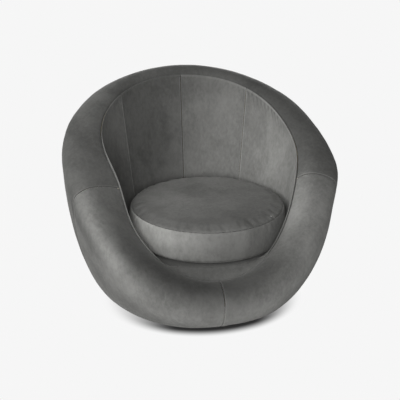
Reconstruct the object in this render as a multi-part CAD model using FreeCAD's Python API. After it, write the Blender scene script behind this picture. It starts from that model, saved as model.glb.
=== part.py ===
import FreeCAD, Part
import math
import os

V = FreeCAD.Vector

# Swivelling tub chair with a loose round seat cushion, in millimetres.
# The sitter faces -Y, X is to the sitter's left, and Z is up.
# The origin is on the floor under the swivel axis.

# Rim of the tub, at five places from the front to the back:
# front, front corner, side, back corner, back.
widest_radius = 505.0
crest_heights = (252.0, 382.0, 602.0, 748.0, 806.0)
crest_insets = (76.0, 78.0, 76.0, 60.0, 50.0)
crest_rises = (56.0, 54.0, 50.0, 38.0, 30.0)
roll_widths = (50.0, 61.0, 70.0, 50.0, 34.0)
seam_drops = (26.0, 23.0, 24.0, 30.0, 34.0)
wall_leans = (50.0, 50.0, 30.0, 21.5, 18.0)
roll_turn = 60.0
bottom_inset = 179.0

# Seams in the covers, as angles from the front.
arm_seam = 72.0
back_seam = 141.0
apron_seam = 30.0
liner_start = 50.0
station_step = 15.0

# Layers from the outside in.
clear = 0.3
foam_gap = 1.3
cover = 2.0
wadding = 9.7
skin_board = 4.0
inner_foam = 28.0
liner_board = 4.0
cover_wrap = 36.0
dust_cloth = 1.0
dust_cloth_edge = 14.0
dust_cloth_hole = 140.0

# Frame.
rail_thickness = 18.0
rail_front_seat = 20.0
base_board_thickness = 18.0
base_board_hole = 34.0
rib_thickness = 18.0
rib_angles = (15.0, 45.0, 75.0, 105.0, 135.0, 165.0)
rib_foot_inset = 64.0
rib_screw_inset = 31.0
rib_screw_radius = 2.5
rib_screw_head = 5.0
rib_screw_length = 42.0
screw_gap = 0.1
rib_spread = 3.0

# Seat deck.
deck_inset = 175.0
deck_height = 264.0
deck_pad = 20.0
webbing_thickness = 2.5
webbing_width = 60.0
webbing_edge = 90.0
webbing_count = 5
deck_ring_thickness = 18.0
deck_ring_width = 58.0

# Base, from the floor up.
glide_height = 11.0
glide_radius = 15.0
glide_stem_radius = 4.0
glide_stem_top = 4.0
glide_chamfer = 3.0
arm_height = 25.0
arm_width = 40.0
arm_wall = 2.0
arm_reach = 300.0
arm_plug_depth = 18.0
arm_corner = 4.0
plug_face = 3.0
plate_size = 200.0
plate_thickness = 3.0
plate_corner = 18.0
race_gap = 8.0
race_radius = 62.0
ball_radius = 5.0
ball_count = 12
ball_gap = 0.3
cage_height = 3.0
cage_width = 20.0
pin_radius = 8.0
pin_gap = 0.3
pin_head_radius = 16.0
pin_head_height = 6.0
washer_thickness = 1.5
washer_margin = 4.0
nut_height = 6.5
nut_share = 1.6
thread_end = 1.0
bolt_radius = 4.0
bolt_gap = 0.3
arm_bolt_inset = 18.0
board_bolt_inset = 16.0
bolt_head_radius = 7.5
bolt_head_height = 4.0
tee_nut_depth = 13.0
tee_nut_wall = 1.6
tee_nut_flange = 4.5
tee_nut_plate = 1.5
cut_past = 1.0

# Seat cushion.
cushion_slack = 38.0
cushion_push = 51.3
cushion_seam_in = 6.0
cushion_height = 137.0
cushion_top_seam_drop = 15.0
cushion_bottom_seam_rise = 8.0
cushion_top_turns = (2.2, 48.0)
cushion_bottom_turns = (1.0, 40.0)
cushion_cover = 1.6
cushion_wadding = 10.0
zip_half_angle = 56.0
zip_end = 3.0
zip_coil_radius = 2.2
slider_height = 12.0
slider_width = 9.0
slider_thickness = 3.0
slider_fillet = 1.2
puller_length = 26.0
puller_width = 6.0
puller_thickness = 1.5

# Radii, places and levels that follow from the sizes above.
bottom_radius = widest_radius - bottom_inset
deck_radius = widest_radius - deck_inset
rib_foot_radius = bottom_radius - rib_foot_inset
rib_screw_place = bottom_radius - rib_screw_inset
webbing_reach = deck_radius - webbing_edge - webbing_width / 2
webbing_pitch = 2 * webbing_reach / (webbing_count - 1)
arm_bolt_offset = plate_size / 2 - arm_bolt_inset
board_bolt_offset = plate_size / 2 - board_bolt_inset
glide_place = arm_reach - arm_plug_depth - glide_radius
cushion_radius = deck_radius - cushion_slack
cushion_x = cushion_slack * math.sin(math.radians(cushion_push))
cushion_y = -cushion_slack * math.cos(math.radians(cushion_push))
arm_top = glide_height + arm_height
lower_plate_top = arm_top + plate_thickness
upper_plate_bottom = lower_plate_top + race_gap
board_bottom = upper_plate_bottom + plate_thickness
board_top = board_bottom + base_board_thickness
shell_bottom = board_bottom - cover - clear
wall_depth = cover + clear + wadding + clear + skin_board + clear
deck_ring_top = deck_height - cover - 2 * clear - deck_pad - 2 * webbing_thickness - 2 * clear
deck_ring_bottom = deck_ring_top - deck_ring_thickness


def around(values, angle):
    """A smooth, mirrored curve round the tub through five named values."""
    total = 0.0
    for k in range(5):
        weight = 0.0
        for j in range(5):
            share = 0.5 if j in (0, 4) else 1.0
            weight += share * values[j] * math.cos(math.pi * j * k / 4.0)
        weight *= 0.25 if k in (0, 4) else 0.5
        total += weight * math.cos(k * math.radians(angle))
    return total


def polar(centre, radius, degrees):
    turn = math.radians(degrees)
    return (centre[0] + radius * math.cos(turn), centre[1] + radius * math.sin(turn))


def two_arcs(run, rise, turn):
    """Radii of two tangent arcs that turn a quarter over a run and a rise."""
    c = math.cos(math.radians(turn))
    s = math.sin(math.radians(turn))
    det = c * s - (1 - s) * (1 - c)
    flat = (run * s - rise * (1 - c)) / det
    steep = (rise * c - run * (1 - s)) / det
    return flat, steep


class Section:
    """The tub's outline in one upright plane through the swivel axis."""

    def __init__(self, angle):
        self.angle = angle
        inset = around(crest_insets, angle)
        rise = around(crest_rises, angle)
        width = around(roll_widths, angle)
        drop = around(seam_drops, angle)
        lean = around(wall_leans, angle)
        crest = (widest_radius - inset, around(crest_heights, angle))
        self.wide = (widest_radius, crest[1] - rise)
        self.seam = (crest[0] - width, crest[1] - drop)
        self.deck = (deck_radius, deck_height)
        low, high = two_arcs(widest_radius - bottom_radius, self.wide[1] - shell_bottom, lean)
        top, edge = two_arcs(inset, rise, roll_turn)
        inner = (width * width + drop * drop) / (2 * drop)
        sweep = 2 * math.degrees(math.atan2(drop, width))
        self.arcs = [
            ((bottom_radius, shell_bottom + low), low, -90.0, -lean),
            ((widest_radius - high, self.wide[1]), high, -lean, 0.0),
            ((widest_radius - edge, self.wide[1]), edge, 0.0, roll_turn),
            ((crest[0], crest[1] - top), top, roll_turn, 90.0),
            ((crest[0], crest[1] - inner), inner, 90.0, 90.0 + sweep),
        ]
        run = (self.deck[0] - self.seam[0], self.deck[1] - self.seam[1])
        length = math.hypot(run[0], run[1])
        self.down = (run[0] / length, run[1] / length)
        self.inward = (-self.down[1], self.down[0])
        blend = min(1.0, abs(math.sin(math.radians(min(abs((angle + 180) % 360 - 180), 45.0) * 2))))
        self.blend = blend * blend
        reserve = inner_foam + liner_board + foam_gap + 2 * clear
        self.rail_in = self.seam[0] + rail_front_seat + (reserve - rail_front_seat + cover) * self.blend

    def wall_point(self, start, depth, along):
        """A point at a depth behind the inner wall, moved along it from start."""
        return (start[0] + self.inward[0] * depth + self.down[0] * along,
                start[1] + self.inward[1] * depth + self.down[1] * along)

    def mitre(self, depth):
        """Where the roll and the inner wall meet, both set back by depth."""
        centre, radius = self.arcs[4][0], self.arcs[4][1] - depth
        base = self.wall_point(self.seam, depth, 0.0)
        rel = (base[0] - centre[0], base[1] - centre[1])
        b = rel[0] * self.down[0] + rel[1] * self.down[1]
        c = rel[0] ** 2 + rel[1] ** 2 - radius ** 2
        root = math.sqrt(max(b * b - c, 0.0))
        along = min((-b - root, -b + root), key=abs)
        return (base[0] + self.down[0] * along, base[1] + self.down[1] * along)

    def mitre_angle(self, depth):
        centre = self.arcs[4][0]
        point = self.mitre(depth)
        return math.degrees(math.atan2(point[1] - centre[1], point[0] - centre[0]))

    def arc(self, index, depth, start=None, end=None):
        """One arc of the outline set back by depth, as start, middle and end points."""
        centre, radius, first, last = self.arcs[index]
        first = first if start is None else start
        last = last if end is None else end
        radius = radius - depth
        return [polar(centre, radius, a) for a in (first, (first + last) / 2, last)]

    def underside(self, radius):
        """Height of the roll's flat underside at a radius."""
        outer = widest_radius - wall_depth
        inner = self.mitre(cover + clear)
        share = (outer - radius) / (outer - inner[0])
        return self.wide[1] + share * (inner[1] - self.wide[1])

    def low(self):
        """Lower end of the inner foam: on the deck ring's level, lower under the apron."""
        front = Section(0.0) if self.blend < 1.0 else self
        rail_bottom = front.underside(front.rail_in) - 2 * clear - rail_thickness
        return (deck_ring_bottom + clear) * self.blend + rail_bottom * (1 - self.blend)


def place(angle, point):
    turn = math.radians(angle)
    return V(point[0] * math.sin(turn), -point[0] * math.cos(turn), point[1])


def wire_of(angle, parts):
    """A closed wire from points (lines) and three-point lists (arcs)."""
    edges = []
    last = None
    first = None
    for item in parts:
        points = item if isinstance(item, list) else [item]
        start = place(angle, points[0])
        if first is None:
            first = start
        if last is not None and last.distanceToPoint(start) > 1e-6:
            edges.append(Part.LineSegment(last, start).toShape())
        if len(points) == 3:
            edges.append(Part.Arc(start, place(angle, points[1]), place(angle, points[2])).toShape())
        last = place(angle, points[-1])
    edges.append(Part.LineSegment(last, first).toShape())
    return Part.Wire(edges)


def stations(start, end):
    count = max(2, int(math.ceil((end - start) / station_step)))
    return [start + (end - start) * i / count for i in range(count + 1)]


def ring_loft(outline, start, end):
    """A solid swept round the tub through its outline at each station."""
    wires = [wire_of(a, outline(Section(a))) for a in stations(start, end)]
    solid = Part.makeLoft(wires, True, False)
    if solid.Volume < 0:
        solid.reverse()
    return solid


def edge_gap(radius=widest_radius):
    """Half the gap between neighbouring panels, as an angle."""
    return math.degrees(clear / radius)


def cover_outline(s):
    """Rim and wall cover, from its turned-in bottom edge up over the roll to the seam."""
    sweep = 90.0 + 2 * math.degrees(math.atan2(around(seam_drops, s.angle), around(roll_widths, s.angle)))
    outer = [s.arc(i, 0.0) for i in range(4)] + [s.arc(4, 0.0, 90.0, sweep)]
    inner = [s.arc(i, cover) for i in range(4)] + [s.arc(4, cover, 90.0, s.mitre_angle(cover))]
    edge = bottom_radius - cover_wrap
    back = [list(reversed(a)) for a in reversed(inner)]
    return [(edge, shell_bottom)] + outer + back + [(edge, shell_bottom + cover)]


def roll_foam_outline(s):
    """Foam roll over the rim rail, flat underneath."""
    t = cover + clear
    parts = [s.arc(2, t), s.arc(3, t), s.arc(4, t, 90.0, s.mitre_angle(t))]
    return parts + [(widest_radius - wall_depth, s.wide[1])]


def wall_layer(s, depth, thickness):
    """A layer that follows the outer wall from the base board to the roll."""
    first = -math.degrees(clear / (s.arcs[1][1] - depth))
    second = -math.degrees(clear / (s.arcs[1][1] - depth - thickness))
    lean = s.arcs[1][2]
    outer = [s.arc(0, depth), s.arc(1, depth, lean, first)]
    inner = [s.arc(1, depth + thickness, second, lean), list(reversed(s.arc(0, depth + thickness)))]
    return outer + inner


def wadding_outline(s):
    return wall_layer(s, cover + clear, wadding)


def skin_outline(s):
    return wall_layer(s, cover + clear + wadding + clear, skin_board)


def wall_angle(s, drop):
    """Angle on the wall's upper arc, behind all layers, at a drop below the widest level."""
    return -math.degrees(math.asin(drop / (s.arcs[1][1] - wall_depth)))


def rail_outline(s):
    """Rim rail under the roll, its outer edge cut to the wall."""
    top = wall_angle(s, clear)
    bottom = wall_angle(s, clear + rail_thickness)
    inner_top = s.underside(s.rail_in) - clear
    return [(s.rail_in, inner_top - rail_thickness), (s.rail_in, inner_top),
            s.arc(1, wall_depth, top, bottom)]


def foam_back(s):
    """Radius of the back of the inner foam at its lower end."""
    steep = deck_radius + clear + inner_foam
    front = s.seam[0] + rail_front_seat - clear
    return steep * s.blend + front * (1 - s.blend)


def inner_foam_outline(s):
    """Foam behind the inner wall, and behind the apron at the front."""
    t = cover + clear
    top = s.mitre(t)
    top = (top[0] + s.down[0] * foam_gap, top[1] + s.down[1] * foam_gap)
    top = (top[0], min(top[1], s.underside(top[0]) - foam_gap))
    face = s.wall_point(s.deck, t, 0.0)
    face = (max(face[0], deck_radius + clear), face[1])
    back = s.rail_in - clear - (liner_board + foam_gap) * s.blend
    return [top, face, (deck_radius + clear, s.low()), (foam_back(s), s.low()),
            (back, s.underside(back) - foam_gap)]


def liner_outline(s):
    """Fibreboard behind the inner foam."""
    top = s.rail_in - clear
    low = foam_back(s) + foam_gap
    return [(low, s.low()), (top - liner_board, s.underside(top - liner_board) - clear),
            (top, s.underside(top) - clear), (low + liner_board, s.low())]


def wall_panel_outline(s):
    """Inner wall cover from the seam down to the deck."""
    face = (s.seam[0] + s.down[0] * clear, s.seam[1] + s.down[1] * clear)
    back = s.mitre(cover)
    back = (back[0] + s.down[0] * clear, back[1] + s.down[1] * clear)
    foot = s.wall_point(s.deck, cover, 0.0)
    return [face, s.deck, (max(foot[0], deck_radius), foot[1]), back]


def rib_outline(s):
    """Upright rib between the skin and the liner, with a foot under the deck ring."""
    rail_low = s.underside(s.rail_in) - 2 * clear - rail_thickness
    shelf = foam_back(s) + liner_board + foam_gap + clear
    ledge = s.low() - clear
    centre, radius = s.arcs[0][0], s.arcs[0][1] - wall_depth
    floor = -math.degrees(math.asin((centre[1] - board_top) / radius))
    lean = s.arcs[1][2]
    top = wall_angle(s, 2 * clear + rail_thickness)
    return [(rib_foot_radius, board_top), (rib_foot_radius, deck_ring_bottom),
            (deck_radius, deck_ring_bottom), (deck_radius + clear, ledge),
            (shelf, ledge), (s.rail_in, rail_low),
            s.arc(1, wall_depth, top, lean), s.arc(0, wall_depth, lean, floor)]


def disc(radius, bottom, height, hole=0.0):
    solid = Part.makeCylinder(radius, height, V(0, 0, bottom))
    if hole:
        solid = solid.cut(Part.makeCylinder(hole, height + 2 * cut_past, V(0, 0, bottom - cut_past)))
    return solid


def rod(radius, x, y, bottom, height):
    return Part.makeCylinder(radius, height, V(x, y, bottom))


def rounded_plate(length, width, radius, bottom, height):
    """A plate with rounded corners, centred on the origin."""
    a = length / 2
    b = width / 2
    plate = Part.makeBox(length, width - 2 * radius, height, V(-a, -b + radius, bottom))
    plate = plate.fuse(Part.makeBox(length - 2 * radius, width, height, V(-a + radius, -b, bottom)))
    for x in (-a + radius, a - radius):
        for y in (-b + radius, b - radius):
            plate = plate.fuse(rod(radius, x, y, bottom, height))
    return plate.removeSplitter()


def turned(solid, angle):
    copy = solid.copy()
    copy.rotate(V(0, 0, 0), V(0, 0, 1), angle)
    return copy


def around_axis(solid, angles):
    return Part.makeCompound([turned(solid, a) for a in angles])


def bar(length, width, height, corner, start, bottom):
    """A bar along X with rounded long edges, from start outward."""
    a = width / 2 - corner
    b = height / 2 - corner
    c = corner * math.sqrt(0.5)
    edges = []
    corners = [(a, b, 1, 1), (-a, b, -1, 1), (-a, -b, -1, -1), (a, -b, 1, -1)]
    last = None
    for y, z, sy, sz in corners:
        first = (y + corner * sy, z) if sy == sz else (y, z + corner * sz)
        final = (y, z + corner * sz) if sy == sz else (y + corner * sy, z)
        points = [V(start, p[0], bottom + height / 2 + p[1])
                  for p in (first, (y + c * sy, z + c * sz), final)]
        if last is not None:
            edges.append(Part.LineSegment(last, points[0]).toShape())
        edges.append(Part.Arc(points[0], points[1], points[2]).toShape())
        last = points[2]
    edges.append(Part.LineSegment(last, edges[0].Vertexes[0].Point).toShape())
    return Part.Face(Part.Wire(edges)).extrude(V(length, 0, 0))


quarter_turns = (0.0, 90.0, 180.0, 270.0)
diagonals = (45.0, 135.0, 225.0, 315.0)


def make_base(nodes):
    length = arm_reach - plug_face
    cross = bar(2 * length, arm_width, arm_height, arm_corner, -length, glide_height)
    cross = cross.fuse(turned(cross, 90.0))
    inner_width = arm_width - 2 * arm_wall
    inner_height = arm_height - 2 * arm_wall
    bore = bar(2 * length + 2 * cut_past, inner_width, inner_height, arm_corner - arm_wall,
               -length - cut_past, glide_height + arm_wall)
    cross = cross.cut(bore).cut(turned(bore, 90.0))
    for angle in quarter_turns:
        bolt = rod(bolt_radius + bolt_gap, arm_bolt_offset, 0, glide_height - cut_past,
                   arm_height + 2 * cut_past)
        stem = rod(glide_stem_radius + screw_gap, glide_place, 0, glide_height - cut_past,
                   arm_wall + 2 * cut_past)
        cross = cross.cut(turned(bolt, angle)).cut(turned(stem, angle))
    cross = cross.cut(rod(pin_radius + screw_gap, 0, 0, glide_height - cut_past, arm_height + 2 * cut_past))
    nodes["base_cross"] = cross

    plug = bar(plug_face, arm_width, arm_height, arm_corner, length, glide_height)
    core = bar(arm_plug_depth, inner_width - 2 * clear, inner_height - 2 * clear, arm_wall,
               length - arm_plug_depth, glide_height + arm_wall + clear)
    nodes["arm_end_plugs"] = around_axis(plug.fuse(core).removeSplitter(), quarter_turns)

    foot = disc(glide_radius, 0.0, glide_height)
    foot = foot.makeChamfer(glide_chamfer, [e for e in foot.Edges if e.BoundBox.ZMax < clear])
    glide = foot.fuse(disc(glide_stem_radius, glide_height, arm_wall + glide_stem_top))
    glide.translate(V(glide_place, 0, 0))
    nodes["floor_glides"] = around_axis(glide, quarter_turns)


def race_groove():
    centre = lower_plate_top + race_gap / 2
    return Part.makeTorus(race_radius, ball_radius + ball_gap, V(0, 0, centre), V(0, 0, 1))


def make_swivel(nodes):
    lower = rounded_plate(plate_size, plate_size, plate_corner, arm_top, plate_thickness)
    lower = lower.cut(disc(pin_radius + screw_gap, arm_top - cut_past,
                           plate_thickness + 2 * cut_past)).cut(race_groove())
    sink = bolt_head_radius - bolt_radius
    head = Part.makeCone(bolt_radius, bolt_head_radius, sink, V(0, 0, lower_plate_top - sink))
    bolt_bottom = glide_height - nut_height + thread_end
    bolt = head.fuse(disc(bolt_radius, bolt_bottom, lower_plate_top - sink - bolt_bottom))
    bolt.translate(V(arm_bolt_offset, 0, 0))
    seat = Part.makeCone(bolt_radius + bolt_gap, bolt_head_radius + bolt_gap, sink,
                         V(arm_bolt_offset, 0, lower_plate_top - sink))
    through = rod(bolt_radius + bolt_gap, arm_bolt_offset, 0, arm_top - cut_past,
                  plate_thickness + 2 * cut_past)
    for angle in quarter_turns:
        lower = lower.cut(turned(seat, angle)).cut(turned(through, angle))
    nodes["swivel_lower_plate"] = lower
    nodes["lower_plate_bolts"] = around_axis(bolt, quarter_turns)

    nut = hexagon(bolt_radius * nut_share, glide_height - nut_height, nut_height)
    nut = nut.cut(disc(bolt_radius + screw_gap, 0, glide_height + cut_past))
    nut.translate(V(arm_bolt_offset, 0, 0))
    nodes["lower_plate_nuts"] = around_axis(nut, quarter_turns)

    upper = rounded_plate(plate_size, plate_size, plate_corner, upper_plate_bottom, plate_thickness)
    upper = upper.cut(disc(pin_radius + pin_gap, upper_plate_bottom - cut_past,
                           plate_thickness + 2 * cut_past))
    upper = upper.cut(race_groove())
    place_r = board_bolt_offset * math.sqrt(2.0)
    hole = rod(bolt_radius + bolt_gap, place_r, 0, upper_plate_bottom - cut_past,
               plate_thickness + 2 * cut_past)
    for angle in diagonals:
        upper = upper.cut(turned(hole, angle))
    nodes["swivel_upper_plate"] = upper

    head_low = upper_plate_bottom - bolt_head_height
    bolt = hexagon(bolt_head_radius, head_low, bolt_head_height)
    bolt = bolt.fuse(disc(bolt_radius, upper_plate_bottom, plate_thickness + base_board_thickness))
    bolt.translate(V(place_r, 0, 0))
    nodes["upper_plate_bolts"] = around_axis(bolt.removeSplitter(), diagonals)

    barrel_radius = bolt_radius + tee_nut_wall
    nut = disc(barrel_radius, board_top - tee_nut_depth, tee_nut_depth)
    nut = nut.fuse(disc(barrel_radius + tee_nut_flange, board_top, tee_nut_plate))
    nut = nut.cut(disc(bolt_radius + screw_gap, board_bottom - cut_past,
                       base_board_thickness + tee_nut_plate + 2 * cut_past))
    nut.translate(V(place_r, 0, 0))
    nodes["tee_nuts"] = around_axis(nut.removeSplitter(), diagonals)

    centre = lower_plate_top + race_gap / 2
    ball = Part.makeSphere(ball_radius, V(race_radius, 0, centre))
    spots = [360.0 * i / ball_count for i in range(ball_count)]
    nodes["bearing_balls"] = around_axis(ball, spots)
    cage = disc(race_radius + cage_width / 2, centre - cage_height / 2, cage_height,
                race_radius - cage_width / 2)
    pocket = rod(ball_radius + ball_gap, race_radius, 0, centre - cage_height, 2 * cage_height)
    for spot in spots:
        cage = cage.cut(turned(pocket, spot))
    nodes["ball_cage"] = cage

    head_bottom = board_bottom + clear + washer_thickness
    pin_bottom = glide_height - nut_height
    pin = disc(pin_radius, pin_bottom, head_bottom - pin_bottom)
    pin = pin.fuse(disc(pin_head_radius, head_bottom, pin_head_height))
    nodes["swivel_pin"] = pin.removeSplitter()
    nodes["pin_washer"] = disc(pin_head_radius + washer_margin, board_bottom + clear, washer_thickness,
                               pin_radius + screw_gap)
    nut = hexagon(pin_radius * nut_share, pin_bottom, nut_height)
    nodes["pin_nut"] = nut.cut(disc(pin_radius + screw_gap, 0, glide_height + cut_past))


def hexagon(radius, bottom, height):
    points = [V(radius * math.cos(math.radians(60 * i)), radius * math.sin(math.radians(60 * i)), bottom)
              for i in range(7)]
    return Part.Face(Part.makePolygon(points)).extrude(V(0, 0, height))


def make_frame(nodes):
    board = disc(bottom_radius - clear, board_bottom, base_board_thickness, base_board_hole)
    place_r = board_bolt_offset * math.sqrt(2.0)
    barrel = rod(bolt_radius + tee_nut_wall + screw_gap, place_r, 0, board_bottom - cut_past,
                 base_board_thickness + 2 * cut_past)
    for angle in diagonals:
        board = board.cut(turned(barrel, angle))
    screw = rib_screw(0.0)
    ribs = []
    screws = []
    angles = [a for a in rib_angles] + [-a for a in reversed(rib_angles)]
    for angle in angles:
        rib = make_rib(angle)
        hole = turned(rib_screw(screw_gap), angle - 90.0)
        ribs.append(rib.cut(hole))
        board = board.cut(hole)
        screws.append(turned(screw, angle - 90.0))
    nodes["base_board"] = board
    nodes["frame_ribs"] = Part.makeCompound(ribs)
    nodes["rib_screws"] = Part.makeCompound(screws)

    nodes["rim_rail_left"] = ring_loft(rail_outline, edge_gap(), 180.0 - edge_gap())
    nodes["rim_rail_right"] = ring_loft(rail_outline, -180.0 + edge_gap(), -edge_gap())
    nodes["skin_board_left"] = ring_loft(skin_outline, edge_gap(), 180.0 - edge_gap())
    nodes["skin_board_right"] = ring_loft(skin_outline, -180.0 + edge_gap(), -edge_gap())
    nodes["liner_board_left"] = ring_loft(liner_outline, liner_start, 180.0 - edge_gap())
    nodes["liner_board_right"] = ring_loft(liner_outline, -180.0 + edge_gap(), -liner_start)
    nodes["deck_ring"] = disc(deck_radius - clear, deck_ring_bottom, deck_ring_thickness,
                              deck_radius - clear - deck_ring_width)


def rib_screw(gap):
    """A countersunk wood screw up through the base board into a rib."""
    sink = rib_screw_head - rib_screw_radius
    head = Part.makeCone(rib_screw_head + gap, rib_screw_radius + gap, sink,
                         V(rib_screw_place, 0, board_bottom))
    return head.fuse(rod(rib_screw_radius + gap, rib_screw_place, 0, board_bottom + sink,
                         rib_screw_length - sink + gap))


def make_rib(angle):
    """A flat board trimmed to the rail, the skin and the liner, which all twist."""
    wires = [wire_of(a, rib_outline(Section(a))) for a in (angle - rib_spread, angle, angle + rib_spread)]
    body = Part.makeLoft(wires, True, False)
    if body.Volume < 0:
        body.reverse()
    slab = Part.makeBox(widest_radius, rib_thickness, 2 * widest_radius, V(0, -rib_thickness / 2, 0))
    return body.common(turned(slab, angle - 90.0))


def make_deck(nodes):
    anchor = deck_radius - clear - deck_ring_width / 3
    straps = []
    for i in range(webbing_count):
        offset = (i - (webbing_count - 1) / 2.0) * webbing_pitch
        reach = abs(offset) + webbing_width / 2
        half = math.sqrt(anchor * anchor - reach * reach)
        straps.append(Part.makeBox(webbing_width, 2 * half, webbing_thickness,
                                   V(offset - webbing_width / 2, -half, deck_ring_top)))
    nodes["webbing_front_to_back"] = Part.makeCompound(straps)
    across = turned(Part.makeCompound(straps), 90.0)
    across.translate(V(0, 0, webbing_thickness + clear))
    nodes["webbing_side_to_side"] = across
    pad_bottom = deck_ring_top + 2 * webbing_thickness + 2 * clear
    nodes["deck_pad"] = disc(deck_radius - clear, pad_bottom, deck_pad)
    nodes["deck_cover"] = disc(deck_radius - clear, deck_height - cover, cover)


def make_padding(nodes):
    gap = edge_gap()
    nodes["roll_foam_back"] = ring_loft(roll_foam_outline, arm_seam + gap, 360.0 - arm_seam - gap)
    nodes["roll_foam_front_left"] = ring_loft(roll_foam_outline, gap, arm_seam - gap)
    nodes["roll_foam_front_right"] = ring_loft(roll_foam_outline, -arm_seam + gap, -gap)
    nodes["wall_wadding_left"] = ring_loft(wadding_outline, gap, 180.0 - gap)
    nodes["wall_wadding_right"] = ring_loft(wadding_outline, -180.0 + gap, -gap)
    nodes["inner_foam_back_left"] = ring_loft(inner_foam_outline, back_seam + gap, 180.0 - gap)
    nodes["inner_foam_back_right"] = ring_loft(inner_foam_outline, -180.0 + gap, -back_seam - gap)
    nodes["inner_foam_side_left"] = ring_loft(inner_foam_outline, apron_seam + gap, back_seam - gap)
    nodes["inner_foam_side_right"] = ring_loft(inner_foam_outline, -back_seam + gap, -apron_seam - gap)
    nodes["apron_foam"] = ring_loft(inner_foam_outline, -apron_seam + gap, apron_seam - gap)


def make_covers(nodes):
    gap = edge_gap()
    nodes["rim_cover_back"] = ring_loft(cover_outline, arm_seam + gap, 360.0 - arm_seam - gap)
    nodes["rim_cover_front_left"] = ring_loft(cover_outline, gap, arm_seam - gap)
    nodes["rim_cover_front_right"] = ring_loft(cover_outline, -arm_seam + gap, -gap)
    nodes["inner_panel_back_left"] = ring_loft(wall_panel_outline, back_seam + gap, 180.0 - gap)
    nodes["inner_panel_back_right"] = ring_loft(wall_panel_outline, -180.0 + gap, -back_seam - gap)
    nodes["inner_panel_side_left"] = ring_loft(wall_panel_outline, apron_seam + gap, back_seam - gap)
    nodes["inner_panel_side_right"] = ring_loft(wall_panel_outline, -back_seam + gap, -apron_seam - gap)
    nodes["apron_panel"] = ring_loft(wall_panel_outline, -apron_seam + gap, apron_seam - gap)
    nodes["dust_cloth"] = disc(bottom_radius - dust_cloth_edge, shell_bottom - dust_cloth,
                               dust_cloth, dust_cloth_hole)


class CushionProfile:
    """Half outline of the round cushion about its own upright axis."""

    def __init__(self):
        self.bottom = deck_height + clear
        self.top = self.bottom + cushion_height
        seam_radius = cushion_radius - cushion_seam_in
        self.top_seam = (seam_radius, self.top - cushion_top_seam_drop)
        self.bottom_seam = (seam_radius, self.bottom + cushion_bottom_seam_rise)
        half = (self.top_seam[1] - self.bottom_seam[1]) / 2
        self.middle = self.bottom_seam[1] + half
        self.band_radius = (half * half + cushion_seam_in ** 2) / (2 * cushion_seam_in)
        self.band_centre = (cushion_radius - self.band_radius, self.middle)
        self.top_arcs = self.dome(self.top, self.top_seam, cushion_top_turns, 1)
        self.bottom_arcs = self.dome(self.bottom, self.bottom_seam, cushion_bottom_turns, -1)

    def dome(self, level, seam, turns, side):
        """A shallow dome and a rounder shoulder that run tangent out to the seam."""
        a, e = [math.radians(t) for t in turns]
        run = seam[0]
        drop = abs(level - seam[1])
        p, q = math.sin(a), math.sin(e) - math.sin(a)
        r, t = 1 - math.cos(a), math.cos(a) - math.cos(e)
        det = p * t - q * r
        flat = (run * t - drop * q) / det
        shoulder = (p * drop - r * run) / det
        first = (0.0, level - side * flat)
        second = (first[0] + (flat - shoulder) * math.sin(a),
                  first[1] + side * (flat - shoulder) * math.cos(a))
        return [(first, flat, 90.0 * side, (90.0 - turns[0]) * side),
                (second, shoulder, (90.0 - turns[0]) * side, (90.0 - turns[1]) * side)]

    def corner(self, arcs, depth, seam):
        """Where the shoulder and the band meet, both set back by depth."""
        c1, r1 = arcs[1][0], arcs[1][1] - depth
        c2, r2 = self.band_centre, self.band_radius - depth
        dx, dy = c2[0] - c1[0], c2[1] - c1[1]
        d = math.hypot(dx, dy)
        a = (r1 * r1 - r2 * r2 + d * d) / (2 * d)
        h = math.sqrt(max(r1 * r1 - a * a, 0.0))
        base = (c1[0] + a * dx / d, c1[1] + a * dy / d)
        spots = [(base[0] - h * dy / d, base[1] + h * dx / d), (base[0] + h * dy / d, base[1] - h * dx / d)]
        return min(spots, key=lambda q: math.hypot(q[0] - seam[0], q[1] - seam[1]))

    def panel(self, arcs, depth, seam):
        """The dome and shoulder at a depth, ending at the corner there."""
        end = self.corner(arcs, depth, seam)
        (c0, r0, a0, a1), (c1, r1, b0, b1) = arcs
        last = math.degrees(math.atan2(end[1] - c1[1], end[0] - c1[0]))
        first = [polar(c0, r0 - depth, a) for a in (a0, (a0 + a1) / 2, a1)]
        second = [polar(c1, r1 - depth, a) for a in (b0, (b0 + last) / 2, last)]
        first[0] = (0.0, first[0][1])
        return [first, second]

    def band(self, depth, start, end):
        """The band at a depth, between two points on it."""
        centre, radius = self.band_centre, self.band_radius - depth
        a, b = [math.degrees(math.atan2(q[1] - centre[1], q[0] - centre[0])) for q in (start, end)]
        return [polar(centre, radius, t) for t in (a, (a + b) / 2, b)]

    def band_at(self, depth, level):
        radius = self.band_radius - depth
        rise = level - self.band_centre[1]
        return (self.band_centre[0] + math.sqrt(radius * radius - rise * rise), level)


def back_to_front(parts):
    return [list(reversed(p)) for p in reversed(parts)]


def spin(parts, start, sweep):
    """A solid turned about the cushion's axis from a start angle through a sweep."""
    face = Part.Face(wire_of(start, parts))
    solid = face.revolve(V(0, 0, 0), V(0, 0, 1), sweep)
    solid.translate(V(cushion_x, cushion_y, 0))
    if solid.Volume < 0:
        solid.reverse()
    return solid


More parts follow.
